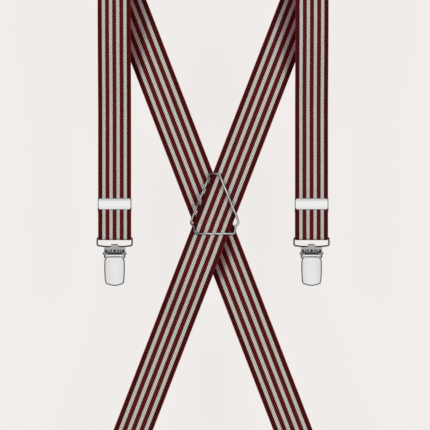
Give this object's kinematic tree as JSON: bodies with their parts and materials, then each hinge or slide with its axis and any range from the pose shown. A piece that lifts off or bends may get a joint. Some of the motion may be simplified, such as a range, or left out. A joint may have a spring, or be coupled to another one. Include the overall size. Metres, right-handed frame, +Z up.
{
  "type": "suspenders",
  "caption": "X-back suspenders of striped elastic webbing with a wire slide where the straps cross, lever adjusters in front and lever clips on swinging rings.",
  "frame": {"origin": "centre of the bottom of the bounding box, on the table it lies on", "axes": "+X from the left strap to the right one, +Y towards the shoulder folds, +Z up from the table"},
  "size_m": [0.4122, 0.7098, 0.017],
  "materials": {
    "webbing": "striped woven elastic webbing, burgundy and silver grey",
    "thread": "burgundy lock stitch",
    "nickel": "bright nickel plate",
    "satin_nickel": "satin nickel plate",
    "chrome": "polished chrome plate",
    "steel_wire": "bright nickel plated wire",
    "dark_nickel": "nickel plated steel, dark reflections",
    "pad_plastic": "moulded plastic grip pad"
  },
  "bodies": {
    "webbing": {"left_strap": "webbing", "right_strap": "webbing", "left_turnback": "webbing", "right_turnback": "webbing", "left_hem_stitching": "thread", "right_hem_stitching": "thread", "cross_wire": "steel_wire"},
    "left_adjuster": {"left_adjuster_base": "satin_nickel", "left_adjuster_pin": "dark_nickel", "left_turnback_stitching": "thread"},
    "left_adjuster_cover": {"left_adjuster_cover": "satin_nickel"},
    "right_adjuster": {"right_adjuster_base": "satin_nickel", "right_adjuster_pin": "dark_nickel", "right_turnback_stitching": "thread"},
    "right_adjuster_cover": {"right_adjuster_cover": "satin_nickel"},
    "front_left_ring": {"front_left_ring": "dark_nickel"},
    "front_left_clip": {"front_left_clip_body": "nickel", "front_left_clip_pin": "dark_nickel", "front_left_fixed_pad": "pad_plastic"},
    "front_left_lever": {"front_left_clip_lever": "chrome"},
    "front_left_jaw": {"front_left_clip_jaw": "nickel", "front_left_jaw_pad": "pad_plastic"},
    "front_right_ring": {"front_right_ring": "dark_nickel"},
    "front_right_clip": {"front_right_clip_body": "nickel", "front_right_clip_pin": "dark_nickel", "front_right_fixed_pad": "pad_plastic"},
    "front_right_lever": {"front_right_clip_lever": "chrome"},
    "front_right_jaw": {"front_right_clip_jaw": "nickel", "front_right_jaw_pad": "pad_plastic"},
    "back_left_ring": {"back_left_ring": "dark_nickel"},
    "back_left_clip": {"back_left_clip_body": "nickel", "back_left_clip_pin": "dark_nickel", "back_left_fixed_pad": "pad_plastic"},
    "back_left_lever": {"back_left_clip_lever": "chrome"},
    "back_left_jaw": {"back_left_clip_jaw": "nickel", "back_left_jaw_pad": "pad_plastic"},
    "back_right_ring": {"back_right_ring": "dark_nickel"},
    "back_right_clip": {"back_right_clip_body": "nickel", "back_right_clip_pin": "dark_nickel", "back_right_fixed_pad": "pad_plastic"},
    "back_right_lever": {"back_right_clip_lever": "chrome"},
    "back_right_jaw": {"back_right_clip_jaw": "nickel", "back_right_jaw_pad": "pad_plastic"}
  },
  "joints": [
    {"name": "left_adjuster_slide", "type": "slide", "parent": "webbing", "child": "left_adjuster", "axis": [0, 1, 0], "range_m": [-0.006, 0.058], "deforming": ["left_turnback"]},
    {"name": "left_adjuster_cover_hinge", "type": "hinge", "parent": "left_adjuster", "child": "left_adjuster_cover", "pos_m": [-0.0745, 0.18218, 0.00495], "axis": [-1, 0, 0], "range_deg": [0, 100]},
    {"name": "right_adjuster_slide", "type": "slide", "parent": "webbing", "child": "right_adjuster", "axis": [0, 1, 0], "range_m": [-0.006, 0.058], "deforming": ["right_turnback"]},
    {"name": "right_adjuster_cover_hinge", "type": "hinge", "parent": "right_adjuster", "child": "right_adjuster_cover", "pos_m": [0.0745, 0.18218, 0.00495], "axis": [-1, 0, 0], "range_deg": [0, 100]},
    {"name": "front_left_ring_swing", "type": "hinge", "parent": "webbing", "child": "front_left_ring", "pos_m": [-0.0745, 0.15333, 0.00195], "axis": [-1, 0, 0], "range_deg": [-45, 45]},
    {"name": "front_left_clip_swing", "type": "hinge", "parent": "front_left_ring", "child": "front_left_clip", "pos_m": [-0.0745, 0.14648, 0.00195], "axis": [-1, 0, 0], "range_deg": [-45, 45]},
    {"name": "front_left_lever_hinge", "type": "hinge", "parent": "front_left_clip", "child": "front_left_lever", "pos_m": [-0.0745, 0.14128, 0.0043], "axis": [-1, 0, 0], "range_deg": [0, 90]},
    {"name": "front_left_jaw_hinge", "type": "hinge", "parent": "front_left_clip", "child": "front_left_jaw", "pos_m": [-0.0745, 0.14128, 0.0043], "axis": [-1, 0, 0], "range_deg": [0, 14.4]},
    {"name": "front_right_ring_swing", "type": "hinge", "parent": "webbing", "child": "front_right_ring", "pos_m": [0.0745, 0.15333, 0.00195], "axis": [-1, 0, 0], "range_deg": [-45, 45]},
    {"name": "front_right_clip_swing", "type": "hinge", "parent": "front_right_ring", "child": "front_right_clip", "pos_m": [0.0745, 0.14648, 0.00195], "axis": [-1, 0, 0], "range_deg": [-45, 45]},
    {"name": "front_right_lever_hinge", "type": "hinge", "parent": "front_right_clip", "child": "front_right_lever", "pos_m": [0.0745, 0.14128, 0.0043], "axis": [-1, 0, 0], "range_deg": [0, 90]},
    {"name": "front_right_jaw_hinge", "type": "hinge", "parent": "front_right_clip", "child": "front_right_jaw", "pos_m": [0.0745, 0.14128, 0.0043], "axis": [-1, 0, 0], "range_deg": [0, 14.4]},
    {"name": "back_left_ring_swing", "type": "hinge", "parent": "webbing", "child": "back_left_ring", "pos_m": [-0.18735, -0.32003, 0.00195], "axis": [-0.9326, 0.361, 0], "range_deg": [-45, 45]},
    {"name": "back_left_clip_swing", "type": "hinge", "parent": "back_left_ring", "child": "back_left_clip", "pos_m": [-0.18982, -0.32642, 0.00195], "axis": [-0.9326, 0.361, 0], "range_deg": [-45, 45]},
    {"name": "back_left_lever_hinge", "type": "hinge", "parent": "back_left_clip", "child": "back_left_lever", "pos_m": [-0.1917, -0.33127, 0.0043], "axis": [-0.9326, 0.361, 0], "range_deg": [0, 90]},
    {"name": "back_left_jaw_hinge", "type": "hinge", "parent": "back_left_clip", "child": "back_left_jaw", "pos_m": [-0.1917, -0.33127, 0.0043], "axis": [-0.9326, 0.361, 0], "range_deg": [0, 14.4]},
    {"name": "back_right_ring_swing", "type": "hinge", "parent": "webbing", "child": "back_right_ring", "pos_m": [0.18735, -0.32003, 0.00195], "axis": [-0.9326, -0.361, 0], "range_deg": [-45, 45]},
    {"name": "back_right_clip_swing", "type": "hinge", "parent": "back_right_ring", "child": "back_right_clip", "pos_m": [0.18982, -0.32642, 0.00195], "axis": [-0.9326, -0.361, 0], "range_deg": [-45, 45]},
    {"name": "back_right_lever_hinge", "type": "hinge", "parent": "back_right_clip", "child": "back_right_lever", "pos_m": [0.1917, -0.33127, 0.0043], "axis": [-0.9326, -0.361, 0], "range_deg": [0, 90]},
    {"name": "back_right_jaw_hinge", "type": "hinge", "parent": "back_right_clip", "child": "back_right_jaw", "pos_m": [0.1917, -0.33127, 0.0043], "axis": [-0.9326, -0.361, 0], "range_deg": [0, 14.4]}
  ],
  "couplings": [
    {"joint": "front_left_jaw_hinge", "follows": "front_left_lever_hinge", "ratio": 0.16},
    {"joint": "front_right_jaw_hinge", "follows": "front_right_lever_hinge", "ratio": 0.16},
    {"joint": "back_left_jaw_hinge", "follows": "back_left_lever_hinge", "ratio": 0.16},
    {"joint": "back_right_jaw_hinge", "follows": "back_right_lever_hinge", "ratio": 0.16}
  ]
}
